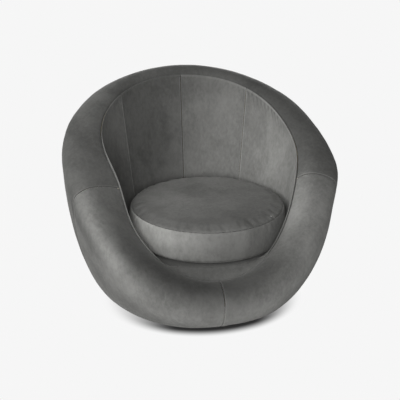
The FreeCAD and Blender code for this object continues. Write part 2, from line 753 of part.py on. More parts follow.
def make_cushion(nodes):
    p = CushionProfile()
    t = cushion_cover
    for name, arcs, seam in (("top", p.top_arcs, p.top_seam), ("bottom", p.bottom_arcs, p.bottom_seam)):
        outer = p.panel(arcs, 0.0, seam)
        inner = back_to_front(p.panel(arcs, t, seam))
        nodes["cushion_%s_panel" % name] = spin(outer + inner, 0.0, 360.0)

    def strip(top, bottom, inner_top, inner_bottom):
        return [p.band(0.0, top, bottom), p.band(t, inner_bottom, inner_top)]

    top_in = p.corner(p.top_arcs, t, p.top_seam)
    bottom_in = p.corner(p.bottom_arcs, t, p.bottom_seam)
    whole = strip(p.top_seam, p.bottom_seam, top_in, bottom_in)
    gap = edge_gap(cushion_radius)
    start = -180.0 + zip_half_angle + gap
    nodes["cushion_band"] = spin(whole, start, -2 * start)
    slot = zip_coil_radius + clear
    high, low = p.middle + slot, p.middle - slot
    upper = strip(p.top_seam, p.band_at(0.0, high), top_in, p.band_at(t, high))
    lower = strip(p.band_at(0.0, low), p.bottom_seam, p.band_at(t, low), bottom_in)
    start = 180.0 - zip_half_angle
    nodes["cushion_zip_strips"] = Part.makeCompound(
        [spin(upper, start, 2 * zip_half_angle), spin(lower, start, 2 * zip_half_angle)])

    coil_place = cushion_radius - t / 2
    coil = Part.Wire(Part.makeCircle(zip_coil_radius, V(0, -coil_place, p.middle), V(1, 0, 0)))
    coil = turned(Part.Face(coil), start + zip_end)
    coil = coil.revolve(V(0, 0, 0), V(0, 0, 1), 2 * (zip_half_angle - zip_end))
    coil.translate(V(cushion_x, cushion_y, 0))
    nodes["cushion_zip_coil"] = coil

    t1 = t + clear
    t2 = t1 + cushion_wadding
    t3 = t2 + clear
    sheets = []
    for arcs, seam in ((p.top_arcs, p.top_seam), (p.bottom_arcs, p.bottom_seam)):
        sheets.append(spin(p.panel(arcs, t1, seam) + back_to_front(p.panel(arcs, t2, seam)), 0.0, 360.0))
    nodes["cushion_wadding"] = Part.makeCompound(sheets)
    depth = max(t1, t / 2 + zip_coil_radius + clear)
    top_edge = p.corner(p.top_arcs, depth, p.top_seam)
    bottom_edge = p.corner(p.bottom_arcs, depth, p.bottom_seam)
    side = p.band(depth, (top_edge[0], top_edge[1] - clear), (bottom_edge[0], bottom_edge[1] + clear))
    core = p.panel(p.top_arcs, t3, p.top_seam) + [side] + back_to_front(p.panel(p.bottom_arcs, t3, p.bottom_seam))
    nodes["cushion_foam"] = spin(core, 0.0, 360.0)

    face = coil_place + zip_coil_radius + clear
    plate = Part.makeBox(slider_width, slider_thickness, slider_height,
                         V(-slider_width / 2, -face - slider_thickness, p.middle - slider_height / 2))
    plate = plate.makeFillet(slider_fillet, [e for e in plate.Edges if abs(e.tangentAt(e.FirstParameter).y) > 0.9])
    loop = Part.makeBox(slider_width / 3, 2 * puller_thickness + 2 * clear, slider_height / 2,
                        V(-slider_width / 6, -face - slider_thickness - 2 * puller_thickness - 2 * clear,
                          p.middle - slider_height / 4))
    slot = Part.makeBox(slider_width, puller_thickness + 2 * clear, slider_height / 2 - 2 * puller_thickness,
                        V(-slider_width / 2, -face - slider_thickness - puller_thickness - 2 * clear,
                          p.middle - slider_height / 4 + puller_thickness))
    slider = plate.fuse(loop.cut(slot)).removeSplitter()
    tab_front = -face - slider_thickness - puller_thickness - clear
    tab_top = p.middle + slider_height / 4 - puller_thickness - clear
    tab = Part.makeBox(puller_width, puller_thickness, puller_length,
                       V(-puller_width / 2, tab_front, tab_top - puller_length))
    window = Part.makeBox(puller_width - 2 * puller_thickness, 3 * puller_thickness, slider_height / 2,
                          V(-puller_width / 2 + puller_thickness, tab_front - puller_thickness,
                            tab_top - puller_thickness - slider_height / 2))
    puller = tab.cut(window)
    for name, solid in (("zip_slider", slider), ("zip_puller", puller)):
        solid = turned(solid, start + zip_end + math.degrees(slider_width / 2 / coil_place))
        solid.translate(V(cushion_x, cushion_y, 0))
        nodes[name] = solid


def main():
    nodes = {}
    make_base(nodes)
    make_swivel(nodes)
    make_frame(nodes)
    make_deck(nodes)
    make_padding(nodes)
    make_covers(nodes)
    make_cushion(nodes)
    os.makedirs("parts", exist_ok=True)
    for name, shape in nodes.items():
        solids = shape.Solids
        good = all(s.isValid() and s.Volume > 0 for s in solids)
        print(name, len(solids), round(sum(s.Volume for s in solids) / 1000.0, 1), "cm3", "ok" if good else "BAD")
        shape.exportStep(os.path.join("parts", name + ".step"))


main()
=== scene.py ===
import math

import bmesh
import bpy
import numpy as np
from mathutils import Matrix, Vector, noise


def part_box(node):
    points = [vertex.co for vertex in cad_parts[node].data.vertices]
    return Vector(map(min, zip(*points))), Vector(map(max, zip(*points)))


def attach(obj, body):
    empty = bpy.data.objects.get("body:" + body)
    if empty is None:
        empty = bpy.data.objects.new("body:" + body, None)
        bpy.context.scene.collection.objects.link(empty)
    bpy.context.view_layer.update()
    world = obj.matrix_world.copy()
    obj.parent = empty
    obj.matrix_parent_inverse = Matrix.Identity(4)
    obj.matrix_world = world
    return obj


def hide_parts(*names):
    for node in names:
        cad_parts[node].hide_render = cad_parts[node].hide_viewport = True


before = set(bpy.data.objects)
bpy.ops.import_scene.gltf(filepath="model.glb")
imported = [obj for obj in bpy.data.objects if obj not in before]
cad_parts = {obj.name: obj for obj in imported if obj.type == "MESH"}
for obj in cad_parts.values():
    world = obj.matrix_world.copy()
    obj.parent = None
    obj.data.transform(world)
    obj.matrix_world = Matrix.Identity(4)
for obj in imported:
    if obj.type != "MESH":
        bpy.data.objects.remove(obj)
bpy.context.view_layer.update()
print("frame loaded:", len(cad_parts), "nodes")

# The chair faces -Y. Angles go round the swivel axis from the front, plus to the sitter's left.
# Lengths are metres. Rows of five are at the front, front corner, side, back corner and back.
tub = {
    "widest": 0.505,
    "crestHeight": (0.252, 0.382, 0.602, 0.748, 0.806),
    "crestInset": (0.076, 0.078, 0.076, 0.060, 0.050),
    "crestRise": (0.056, 0.054, 0.050, 0.038, 0.030),
    "rollWidth": (0.050, 0.061, 0.070, 0.050, 0.034),
    "seamDrop": (0.026, 0.023, 0.024, 0.030, 0.034),
    "wallLean": (50.0, 50.0, 30.0, 21.5, 18.0),
    "rollTurn": 60.0,
    "bottom": 0.326,
    "floorEdge": 0.0477,
    "tuckedIn": 0.034,
    "deck": 0.330,
    "deckHeight": 0.264,
    "armSeam": 72.0,
    "backSeam": 141.0,
    "apronSeam": 30.0,
    "gap": 0.0004,
    "cover": 0.0018,
    "foam": 0.028,
    "allowance": 0.006,
    # hand stuffing: where the roll reaches further in (plus) or less far, how wide, how much
    "stuffed": ((-74.0, 21.0, 0.036), (88.0, 19.0, -0.015), (176.0, 16.0, 0.010)),
    # where a wall stands further out: place, spread, height, spread in height, how much
    "swollen": ((78.0, 14.0, 0.53, 0.10, 0.016), (104.0, 12.0, 0.67, 0.07, -0.007),
                (-110.0, 9.0, 0.68, 0.05, 0.006), (-135.0, 18.0, 0.75, 0.06, 0.012),
                (-60.0, 22.0, 0.13, 0.08, 0.009), (-88.0, 22.0, 0.42, 0.14, -0.006),
                (10.0, 34.0, 0.05, 0.07, -0.009), (52.0, 20.0, 0.14, 0.09, -0.006)),
}


def around(values, degrees):
    # a smooth mirrored curve round the tub through five values
    turn = np.radians(degrees)
    total = 0.0
    for k in range(5):
        weight = 0.0
        for j in range(5):
            share = 0.5 if j in (0, 4) else 1.0
            weight += share * values[j] * math.cos(math.pi * j * k / 4)
        total = total + weight * (0.25 if k in (0, 4) else 0.5) * np.cos(k * turn)
    return total


def lumps(spots, degrees):
    # soft bumps round the tub, each with its place, spread and size
    total = 0.0
    for place, spread, size in spots:
        away = (degrees - place + 180.0) % 360.0 - 180.0
        total = total + size * np.exp(-(away / spread) ** 2)
    return total


# Painted light and shade, for how the lamps fall and how the pile's sheen shows: place round, spread, place
# along, spread, strength.
paintedLightAreas = {
    "cover": ((-22, 30, 0.090, 0.062, -1.00), (12, 24, 0.090, 0.055, -0.42), (-20, 34, 0.25, 0.075, 0.46),
              (32, 28, 0.22, 0.09, 0.62), (-60, 20, 0.155, 0.045, 0.50), (-44, 16, 0.19, 0.05, 0.30),
              (-66, 16, 0.235, 0.030, -0.35), (-85, 34, 0.28, 0.05, 0.16),
              (48, 15, 0.10, 0.05, 0.24), (-130, 26, 0.08, 0.09, 0.16), (128, 28, 0.06, 0.08, -0.22),
              (60, 22, 0.03, 0.05, 0.72), (62, 22, 0.17, 0.07, 0.36)),
    "panel": ((160, 20, 0.18, 0.30, -0.05), (115, 24, 0.18, 0.22, 0.26), (85, 22, 0.12, 0.20, 0.18),
              (-160, 20, 0.20, 0.30, -0.52), (0, 30, 0.05, 0.10, -0.58),
              (168, 24, 0.02, 0.07, -0.34), (150, 24, 0.32, 0.10, 0.14), (122, 16, 0.26, 0.12, 0.12),
              (-112, 16, 0.12, 0.16, -0.14)),
    "cushionTop": ((-90, 60, 0.15, 0.12, 0.28), (0, 60, 0.22, 0.08, -0.48), (180, 60, 0.22, 0.08, 0.22)),
    "cushionBand": ((-45, 26, 0.33, 0.20, 0.22), (-72, 18, 0.33, 0.20, 0.80), (0, 24, 0.33, 0.20, -0.48),
                    (45, 26, 0.33, 0.20, -0.44)),
}


def paintedLightOf(area, degrees, along, base=1.0):
    # painted light and shade at a place, 1 for none
    total = 0.0
    for place, spread, where, reach, strength in paintedLightAreas[area]:
        total = total + lumps(((place, spread, strength),), degrees) * np.exp(-((along - where) / reach) ** 2)
    return base * np.exp(total)


def swelling(degrees, height):
    # how far the stuffed wall stands out at a place
    total = 0.0
    for place, spread, level, tall, size in tub["swollen"]:
        total = total + lumps(((place, spread, size),), degrees) * np.exp(-((height - level) / tall) ** 2)
    return total


class Rim:
    # the cover's outline at one angle, as arcs from the inner seam out over the roll and down
    def __init__(self, degrees):
        inset, rise = around(tub["crestInset"], degrees), around(tub["crestRise"], degrees)
        width, drop = around(tub["rollWidth"], degrees), around(tub["seamDrop"], degrees)
        width += lumps(tub["stuffed"], degrees)
        lean = around(tub["wallLean"], degrees)
        wide, bottom = tub["widest"], tub["bottom"]
        crest = (wide - inset, around(tub["crestHeight"], degrees))
        level = crest[1] - rise
        low, high = self.twoArcs(wide - bottom, level - tub["floorEdge"], lean)
        top, edge = self.twoArcs(inset, rise, tub["rollTurn"])
        inner = (width ** 2 + drop ** 2) / (2 * drop)
        sweep = 2 * math.degrees(math.atan2(drop, width))
        self.seam = (crest[0] - width, crest[1] - drop)
        self.arcs = [
            (crest[0], crest[1] - inner, inner, 90 + sweep, 90),
            (crest[0], crest[1] - top, top, 90, tub["rollTurn"]),
            (wide - edge, level, edge, tub["rollTurn"], 0),
            (wide - high, level, high, 0, -lean),
            (bottom, tub["floorEdge"] + low, low, -lean, -90),
        ]
        self.lengths = [a[2] * math.radians(a[3] - a[4]) for a in self.arcs]
        self.length = sum(self.lengths) + tub["tuckedIn"]

    def twoArcs(self, run, rise, turn):
        c, s = math.cos(math.radians(turn)), math.sin(math.radians(turn))
        det = c * s - (1 - s) * (1 - c)
        return (run * s - rise * (1 - c)) / det, (rise * c - run * (1 - s)) / det

    def at(self, along):
        # the point and outward normal at a distance from the inner seam
        for (x, z, radius, first, last), length in zip(self.arcs, self.lengths):
            if along <= length:
                turn = math.radians(first + (last - first) * along / length)
                c, s = math.cos(turn), math.sin(turn)
                return x + radius * c, z + radius * s, c, s
            along -= length
        return tub["bottom"] - along, tub["floorEdge"], 0.0, -1.0


def spaced(length, step, fine=(0.0, 0.0012, 0.0025, 0.004, 0.006, 0.009, 0.013)):
    # distances along a panel, close together at both of its seams
    inner = np.linspace(fine[-1], length - fine[-1], max(3, int(length / step)))
    return np.concatenate([fine[:-1], inner, length - np.array(fine[:-1])[::-1]])


def smooth(low, high, value):
    t = np.clip((value - low) / (high - low), 0, 1)
    return t * t * (3 - 2 * t)


def noiseAt(points, scale, seed):
    # soft noise from -1 to 1 at each point; the same every run
    shift = Vector((seed * 7.3, seed * 3.1, seed * 5.7))
    flat = points.reshape(-1, 3)
    values = [noise.noise(Vector(p) * scale + shift) for p in flat]
    return np.array(values).reshape(points.shape[:-1])


def gridNormals(points, wrap=False):
    if wrap:
        across = np.roll(points, -1, axis=1) - np.roll(points, 1, axis=1)
    else:
        across = np.gradient(points, axis=1)
    along = np.gradient(points, axis=0)
    normal = np.cross(along, across)
    size = np.linalg.norm(normal, axis=2, keepdims=True)
    return normal / np.maximum(size, 1e-9)


def linked(name, data):
    thing = bpy.data.objects.new(name, data)
    bpy.context.scene.collection.objects.link(thing)
    return thing


def fromWork(name, work):
    # a finished piece from a bmesh
    mesh = bpy.data.meshes.new(name)
    work.to_mesh(mesh)
    work.free()
    return linked(name, mesh)


def gridMesh(name, points, edge=None, wrap=False, nap=None):
    # rows run down the panel, columns run round the tub; faces point outward
    rows, columns = points.shape[:2]
    mesh = bpy.data.meshes.new(name)
    faces = []
    last = columns if wrap else columns - 1
    for i in range(rows - 1):
        for j in range(last):
            k = (j + 1) % columns
            faces.append((i * columns + j, (i + 1) * columns + j, (i + 1) * columns + k, i * columns + k))
    mesh.from_pydata([tuple(p) for p in points.reshape(-1, 3)], [], faces)
    if edge is not None:
        layer = mesh.attributes.new("seamDistance", "FLOAT", "POINT")
        layer.data.foreach_set("value", np.minimum(edge, 0.05).reshape(-1).astype(np.float32))
    # painted light and shade for the velvet, 1 for none
    layer = mesh.attributes.new("nap", "FLOAT", "POINT")
    nap = np.ones(points.shape[:2]) if nap is None else nap
    layer.data.foreach_set("value", nap.reshape(-1).astype(np.float32))
    mesh.polygons.foreach_set("use_smooth", [True] * len(mesh.polygons))
    mesh.update()
    return linked(name, mesh)


def seamDip(distance, depth=0.0018, reach=0.0022, puff=0.0006):
    # cloth that rolls down into a seam and swells a little beside it
    dip = -depth * np.exp(-(distance / reach) ** 2)
    return dip + puff * np.exp(-((distance - 0.012) / 0.007) ** 2)


def turnedIn(lift, top=True, depth=0.0022):
    # the outermost ring is the seam allowance, turned in behind the seam
    lift = lift.copy()
    lift[0, :] -= depth if top else 0.0016
    lift[1:, 0] -= depth
    lift[1:, -1] -= depth
    return lift


def finishPiece(piece, body, finish, nodes):
    # puts the finish on the piece, hangs it on its body and hides the frame nodes it stands in for
    piece.data.materials.append(finishes[finish])
    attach(piece, body)
    if nodes:
        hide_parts(*nodes)
    return piece


def thicken(piece, thickness):
    wall = piece.modifiers.new("thickness", "SOLIDIFY")
    wall.thickness = thickness
    wall.offset = -1.0


def areaOf(piece):
    return float(sum(p.area for p in piece.data.polygons))


def sewn(name, points, mark, nap, finish, node):
    # a panel of the tub's cloth, with its area
    piece = gridMesh(name, points, mark, False, nap)
    thicken(piece, tub["cover"])
    finishPiece(piece, "shell", finish, [node])
    return piece, areaOf(piece)


# Shader maths on sockets, and one method for every other node.
class Wire:
    def __init__(self, finish, socket):
        self.finish = finish
        self.socket = socket

    def maths(self, operation, first, second):
        settings = {"operation": operation}
        return self.finish.add("ShaderNodeMath", settings, {0: first, 1: second}).wire(0)

    def __add__(self, other):
        return self.maths("ADD", self, other)

    def __sub__(self, other):
        return self.maths("SUBTRACT", self, other)

    def __rsub__(self, other):
        return self.maths("SUBTRACT", other, self)

    def __mul__(self, other):
        return self.maths("MULTIPLY", self, other)

    def __truediv__(self, other):
        return self.maths("DIVIDE", self, other)

    def __pow__(self, other):
        return self.maths("POWER", self, other)

    def sine(self):
        return self.maths("SINE", self, 0.0)

    __radd__ = __add__
    __rmul__ = __mul__


class Placed:
    def __init__(self, finish, node):
        self.finish = finish
        self.node = node

    def wire(self, output):
        return Wire(self.finish, self.node.outputs[output])


class Finish:
    # a material under construction
    def __init__(self, name):
        self.material = bpy.data.materials.new(name)
        self.material.use_nodes = True
        self.tree = self.material.node_tree
        self.tree.nodes.clear()
        self.place = self.add("ShaderNodeTexCoord").wire("Object")

    def add(self, kind, settings=None, sockets=None):
        node = self.tree.nodes.new(kind)
        for key, value in (settings or {}).items():
            if key == "stops":
                ramp = node.color_ramp
                while len(ramp.elements) < len(value):
                    ramp.elements.new(0.5)
                for element, (where, colour) in zip(ramp.elements, value):
                    element.position = where
                    element.color = (*colour, 1.0) if len(colour) == 3 else colour
            else:
                setattr(node, key, value)
        for key, value in (sockets or {}).items():
            if isinstance(value, Wire):
                self.tree.links.new(value.socket, node.inputs[key])
            else:
                node.inputs[key].default_value = value
        return Placed(self, node)

    def noise(self, scale, detail=3.0, roughness=0.55, stretch=(1, 1, 1), warp=0.0):
        where = self.add("ShaderNodeMapping", {}, {"Vector": self.place, "Scale": stretch}).wire(0)
        sockets = {"Vector": where, "Scale": scale, "Detail": detail, "Roughness": roughness,
                   "Distortion": warp}
        return self.add("ShaderNodeTexNoise", {}, sockets).wire(0)

    def ramp(self, factor, low, high):
        sockets = {0: factor, 1: low, 2: high}
        return self.add("ShaderNodeMapRange", {"interpolation_type": "SMOOTHSTEP"}, sockets).wire(0)

    def mix(self, factor, first, second, blend="MIX"):
        settings = {"data_type": "RGBA", "blend_type": blend}
        colours = [c if isinstance(c, Wire) else (*c, 1.0) for c in (first, second)]
        return self.add("ShaderNodeMix", settings, {0: factor, 6: colours[0], 7: colours[1]}).wire(2)

    def bump(self, height, strength, distance):
        sockets = {"Height": height, "Strength": strength, "Distance": distance}
        return self.add("ShaderNodeBump", {}, sockets).wire(0)

    def shade(self, colour, roughness, normal=None, **fixed):
        sockets = {"Base Color": colour if isinstance(colour, Wire) else (*colour, 1.0),
                   "Roughness": roughness}
        if normal is not None:
            sockets["Normal"] = normal
        for key, value in fixed.items():
            sockets[key] = value
        surface = self.add("ShaderNodeBsdfPrincipled", {}, sockets)
        self.add("ShaderNodeOutputMaterial", {}, {"Surface": surface.wire(0)})
        return self.material


velvetLook = {
    "dark": (0.116, 0.116, 0.111),
    "light": (0.196, 0.196, 0.188),
    "sheenTint": (0.80, 0.80, 0.77, 1.0),
    "sheen": 0.10,
    "sheenRoughness": 0.45,
    "patch": 6.0,
    "brushed": 21.0,
    "pile": 900.0,
}


def velvet(name, shade=1.0, threadLight=0.34, threadDark=0.20, threadWide=0.0010):
    # short pile whose brushed patches catch more or less light, with a painted highlight beside seams,
    # painted shade in them, and the piece's painted light and shade
    f = Finish(name)
    patches = f.noise(velvetLook["patch"], 2.0, 0.5, (1, 1, 0.7), 0.6)
    brushed = f.noise(velvetLook["brushed"], 4.0, 0.6, (1, 1, 0.75), 0.5)
    specks = f.noise(95.0, 3.0, 0.65, (1, 1, 0.6), 0.4)
    scuffs = f.ramp(f.noise(38.0, 5.0, 0.7, (1, 1, 0.35), 1.2), 0.57, 0.70)
    pile = f.noise(velvetLook["pile"], 1.0, 0.5)
    lay = f.ramp(patches * 0.42 + brushed * 0.28 + specks * 0.32, 0.31, 0.69)
    lay = lay * (1 - scuffs * 0.45) + scuffs * 0.45
    seam = f.add("ShaderNodeAttribute", {"attribute_name": "seamDistance"}).wire("Fac")
    nap = f.add("ShaderNodeAttribute", {"attribute_name": "nap"}).wire("Fac")
    # painted shade in the seam's crease, and a painted highlight on the cloth's shoulders beside it
    creaseShade = 1 - f.ramp(seam, 0.0, threadWide)
    shoulderHighlight = f.ramp(seam, 0.0004, 0.0012) * (1 - f.ramp(seam, 0.0022, 0.0040))
    colour = f.mix(lay, [c * shade for c in velvetLook["dark"]], [c * shade for c in velvetLook["light"]])
    colour = f.mix(shoulderHighlight * threadLight, colour, [c * shade * 1.6 for c in velvetLook["light"]])
    colour = f.mix(creaseShade * threadDark, colour, (0.03, 0.03, 0.029))
    # the piece's painted light and shade scale the colour
    grey = f.add("ShaderNodeCombineXYZ", {}, {0: nap, 1: nap, 2: nap}).wire(0)
    colour = f.mix(1.0, colour, grey, "MULTIPLY")
    height = pile * 0.6 + brushed * 0.4
    normal = f.bump(height, 0.35, 0.0012)
    rough = 0.80 - lay * 0.10
    fixed = {"Sheen Weight": velvetLook["sheen"], "Sheen Roughness": velvetLook["sheenRoughness"],
             "Sheen Tint": velvetLook["sheenTint"], "Specular IOR Level": 0.12}
    return f.shade(colour, rough, normal, **fixed)


def speckled(name, low, high, scale, roughness, bump=0.0003, metallic=0.0, detail=4.0,
             stretch=(1, 1, 1), grain=0.0, **fixed):
    # a plain solid stuff: two tones mixed by noise, with a matching bump
    f = Finish(name)
    tone = f.noise(scale, detail, 0.6, stretch, 0.3)
    fine = f.noise(scale * 6, 3.0, 0.6, stretch)
    mask = f.ramp(tone * 0.65 + fine * 0.35, 0.36, 0.64)
    if grain:
        rings = f.noise(grain, 2.0, 0.5, (1, 1, 12))
        mask = mask * 0.5 + f.ramp(rings, 0.4, 0.6) * 0.5
    normal = f.bump(tone * 0.4 + fine * 0.6, 0.5, bump)
    rough = roughness + mask * 0.12 - 0.06
    return f.shade(f.mix(mask, low, high), rough, normal, Metallic=metallic, **fixed)


def weaveCloth(name, low, high, pitch, roughness=0.85):
    # crossed threads a pitch apart, along X and Y
    f = Finish(name)
    split = f.add("ShaderNodeSeparateXYZ", {}, {0: f.place})
    threads = [(split.wire(k) * (2 * math.pi / pitch)).sine() for k in (0, 1)]
    height = threads[0] * 0.25 + threads[1] * 0.25 + 0.5
    tone = f.noise(30.0, 3.0)
    colour = f.mix(height * 0.6 + tone * 0.4, low, high)
    return f.shade(colour, roughness, f.bump(height, 0.6, 0.0006))


finishes = {
    "velvet": velvet("velvetGrey"),
    # a shaded copy of the velvet: painted shade for the inner panels facing away from the lamps
    "velvetDark": velvet("velvetGreyDeep", 0.89),
    # the cushion's velvet: a faint painted seam highlight and a strong, wide painted seam shade
    "velvetCushion": velvet("velvetGreyCushion", 1.0, 0.05, 0.85, 0.0026),
    # a shaded copy of the velvet: painted shade for the deck under the cushion
    "velvetDeck": velvet("velvetGreyDeck", 0.62),
    # a lit copy of the velvet: painted light for the inner panels facing the lamps, with a stronger painted
    # seam highlight
    "velvetLight": velvet("velvetGreySoft", 1.12, 0.8, 0.05),
    "lining": weaveCloth("blackNonWoven", (0.012, 0.012, 0.012), (0.035, 0.035, 0.035), 0.0016),
    "foam": speckled("seatFoam", (0.55, 0.47, 0.30), (0.80, 0.74, 0.55), 160.0, 0.92, 0.0008),
    "wadding": speckled("fibreWadding", (0.72, 0.72, 0.69), (0.92, 0.92, 0.90), 60.0, 0.95, 0.0012,
                        stretch=(1, 1, 0.35)),
    "webbing": weaveCloth("elasticWebbing", (0.02, 0.02, 0.02), (0.10, 0.10, 0.10), 0.0032),
    "plywood": speckled("birchPlywood", (0.42, 0.29, 0.16), (0.72, 0.56, 0.37), 22.0, 0.62, 0.0003,
                        grain=45.0, stretch=(0.4, 1, 1)),
    "fibreboard": speckled("brownFibreboard", (0.20, 0.12, 0.06), (0.36, 0.24, 0.14), 120.0, 0.75),
    "black_steel": speckled("blackPowderCoat", (0.008, 0.008, 0.008), (0.022, 0.022, 0.022), 700.0,
                            0.45, 0.0002, **{"Specular IOR Level": 0.4}),
    "zinc_steel": speckled("zincPlate", (0.42, 0.43, 0.44), (0.62, 0.62, 0.60), 90.0, 0.34, 0.0001, 1.0),
    "bearing_steel": speckled("polishedSteel", (0.58, 0.58, 0.58), (0.70, 0.70, 0.69), 120.0, 0.12,
                              0.00005, 1.0),
    "black_plastic": speckled("blackMouldedPlastic", (0.010, 0.010, 0.010), (0.028, 0.028, 0.028),
                              500.0, 0.5, 0.0002),
    "white_plastic": speckled("whiteMouldedPlastic", (0.66, 0.66, 0.64), (0.80, 0.80, 0.78), 200.0,
                              0.42, 0.0002),
    "zip_metal": speckled("darkNickel", (0.10, 0.10, 0.10), (0.24, 0.24, 0.23), 300.0, 0.32, 0.0001, 1.0),
}
print("finishes made:", len(finishes))

# rows close to a seam, as distances from it
nearSeam = np.array([0.0004, 0.0016, 0.003, 0.0045, 0.0065, 0.009, 0.012, 0.016, 0.021])
coverGrid = {
    "step": 0.0075,
    "onRoll": 0.34,
    "rollRows": 26,
    "wallRows": 46,
    # the painted highlight and painted shade along the rim seam show near the front and end between these
    # angles
    "threadEnds": (38, 52),
    # least seam distance for the marks, which keeps the painted seam highlight and shade away
    "noThread": 0.0035,
    "tucked": 0.005,
    "settled": 0.03,
}
panelGrid = {"step": 0.006, "rows": 44, "slack": 0.92, "free": (0.40, 0.50)}
pucker = {
    # small folds under the rim seam, at the back corners, with painted shade in the folds
    "starts": (100, 118),
    "ends": (138, 150),
    "pitch": 0.0230,
    "radius": 0.42,
    "slant": 38,
    "sharpness": 5,
    "reach": 0.036,
    "depth": 0.0045,
    "sitterRight": 0.45,
    "shade": 0.42,
}


def coverPiece(name, start, end, node, shade):
    # outer cover between two seams, from the inner seam over the roll to its tucked-in edge
    grid = coverGrid
    half = math.degrees(tub["gap"] / tub["widest"])
    arc = math.radians(end - start - 2 * half) * tub["widest"]
    turns = start + half + np.degrees(spaced(arc, grid["step"]) / tub["widest"])
    near = nearSeam
    onRoll = np.linspace(0, grid["onRoll"], grid["rollRows"])[1:]
    share = np.concatenate([onRoll, np.linspace(grid["onRoll"], 1.0, grid["wallRows"])[1:]])
    points = np.zeros((len(near) + len(share), len(turns), 3))
    edge, mark, nap = [np.zeros(points.shape[:2]) for _ in range(3)]
    sides = np.minimum(turns - turns[0], turns[-1] - turns) * math.radians(1) * tub["widest"]
    for j, turn in enumerate(turns):
        rim = Rim(turn)
        rows = np.concatenate([near, near[-1] + share * (rim.length - near[-1])])
        c, s = math.cos(math.radians(turn)), math.sin(math.radians(turn))
        for i, along in enumerate(rows):
            r, z, out, up = rim.at(along)
            puff = swelling(turn, z)
            r, z = r + puff * max(out, 0.0), z + puff * min(up, 0.0)
            points[i, j] = (r * s, -r * c, z)
            edge[i, j] = min(along, sides[j] * r / tub["widest"])
            fromFront = abs(turn if turn < 180 else turn - 360)
            plain = grid["noThread"] * smooth(*grid["threadEnds"], fromFront)
            mark[i, j] = min(max(along, plain), sides[j] * r / tub["widest"])
            # painted light and shade: the cover's own painted shade times the listed areas
            nap[i, j] = paintedLightOf("cover", turn, along, shade)
    normal = gridNormals(points)
    wave = noiseAt(points, 7.0, 1.0) * 0.0018 + noiseAt(points, 24.0, 2.0) * 0.0005
    lift = turnedIn(seamDip(edge) + wave * smooth(0.0, grid["settled"], edge))
    # the first row is the seam allowance, tucked outward and down behind the seam
    allowance = points[0].copy()
    points = points + normal * lift[..., None]
    across = np.linalg.norm(allowance[:, :2], axis=1, keepdims=True)
    allowance[:, :2] *= 1 + grid["tucked"] / across
    points[0] = allowance - (0, 0, grid["tucked"])
    points[..., 2] = np.maximum(points[..., 2], tub["floorEdge"])
    return sewn(name, points, mark, nap, "velvet", node)


def panelPiece(name, start, end, finish, node, bulge):
    # inner cover between two upright seams, from the rim seam down to the deck
    reach = tub["deck"]
    half = math.degrees(tub["gap"] / reach)
    arc = math.radians(end - start - 2 * half) * reach
    turns = start + half + np.degrees(spaced(arc, panelGrid["step"]) / reach)
    near = nearSeam
    share = np.linspace(0, 1, panelGrid["rows"])[1:]
    sides = np.minimum(turns - turns[0], turns[-1] - turns) * math.radians(1)
    points = np.zeros((len(near) + len(share), len(turns), 3))
    edge, mark, down = [np.zeros(points.shape[:2]) for _ in range(3)]
    for j, turn in enumerate(turns):
        seam = Rim(turn).seam
        run = np.array([tub["deck"] - seam[0], tub["deckHeight"] - seam[1]])
        length = np.linalg.norm(run)
        rows = np.concatenate([near, near[-1] + share * (length - near[-1])]) / length
        c, s = math.cos(math.radians(turn)), math.sin(math.radians(turn))
        for i, part in enumerate(rows):
            tuck = tub["allowance"] / length if i == 0 else 0.0
            r, z = seam[0] + run[0] * (part - tuck), seam[1] + run[1] * (part - tuck)
            points[i, j] = (r * s, -r * c, z)
            edge[i, j] = min(part * length, sides[j] * r)
            mark[i, j] = min(max(part * length, coverGrid["noThread"]), sides[j] * r)
            down[i, j] = part * length
    normal = gridNormals(points)
    level = points[..., 2]
    free = smooth(*panelGrid["free"], level)
    puckers, fold = np.zeros(points.shape[:2]), np.zeros(points.shape[:2])
    if abs(start) > 60 or abs(end) > 60:
        p = pucker
        turnGrid = np.radians(turns)[None, :] * p["radius"] + noiseAt(points, 9.0, 4.0) * 0.006
        ridge = np.abs(np.sin(turnGrid * math.pi / p["pitch"] + down * p["slant"])) ** p["sharpness"]
        where = smooth(*p["starts"], np.abs(turns)) * (1 - smooth(*p["ends"], np.abs(turns)))
        strength = where * np.where(turns > 0, 1.0, p["sitterRight"])
        fold = ridge * np.exp(-(down / p["reach"]) ** 2) * smooth(0, 0.004, down) * strength
        puckers = -fold * p["depth"]
    swell = bulge * smooth(0.0, 0.07, edge) * free
    wave = (1 + noiseAt(points, 8.0, 5.0)) * 0.0014 * free + (1 + noiseAt(points, 28.0, 6.0)) * 0.0003
    dip = seamDip(edge, 0.0011, 0.0020, 0.0004)
    lift = turnedIn(dip + swell + puckers + wave * smooth(0.0, 0.03, edge), False)
    points = points + normal * lift[..., None]
    # painted light and shade from the listed areas, and painted shade in the puckers' folds
    nap = paintedLightOf("panel", turns[None, :], down, 1.06) * (1 - pucker["shade"] * fold)
    return sewn(name, points, mark, nap, finish, node)


def declareStretched(area, length):
    flat = (area / length / panelGrid["slack"], length)


arm, back, apron = tub["armSeam"], tub["backSeam"], tub["apronSeam"]
# the last number is each cover's painted shade
rimCovers = [
    ("rimCoverBack", arm, 360 - arm, "rim_cover_back", 1.9, ["roll_foam_back"], 0.55),
    ("rimCoverFrontLeft", 0, arm, "rim_cover_front_left", 0.62, ["roll_foam_front_left"], 0.72),
    ("rimCoverFrontRight", -arm, 0, "rim_cover_front_right", 0.62, ["roll_foam_front_right"], 0.74),
]
for name, start, end, node, length, carrier, shade in rimCovers:
    piece, area = coverPiece(name, start, end, node, shade)
    declareStretched(area, length)
print("rim covers made")

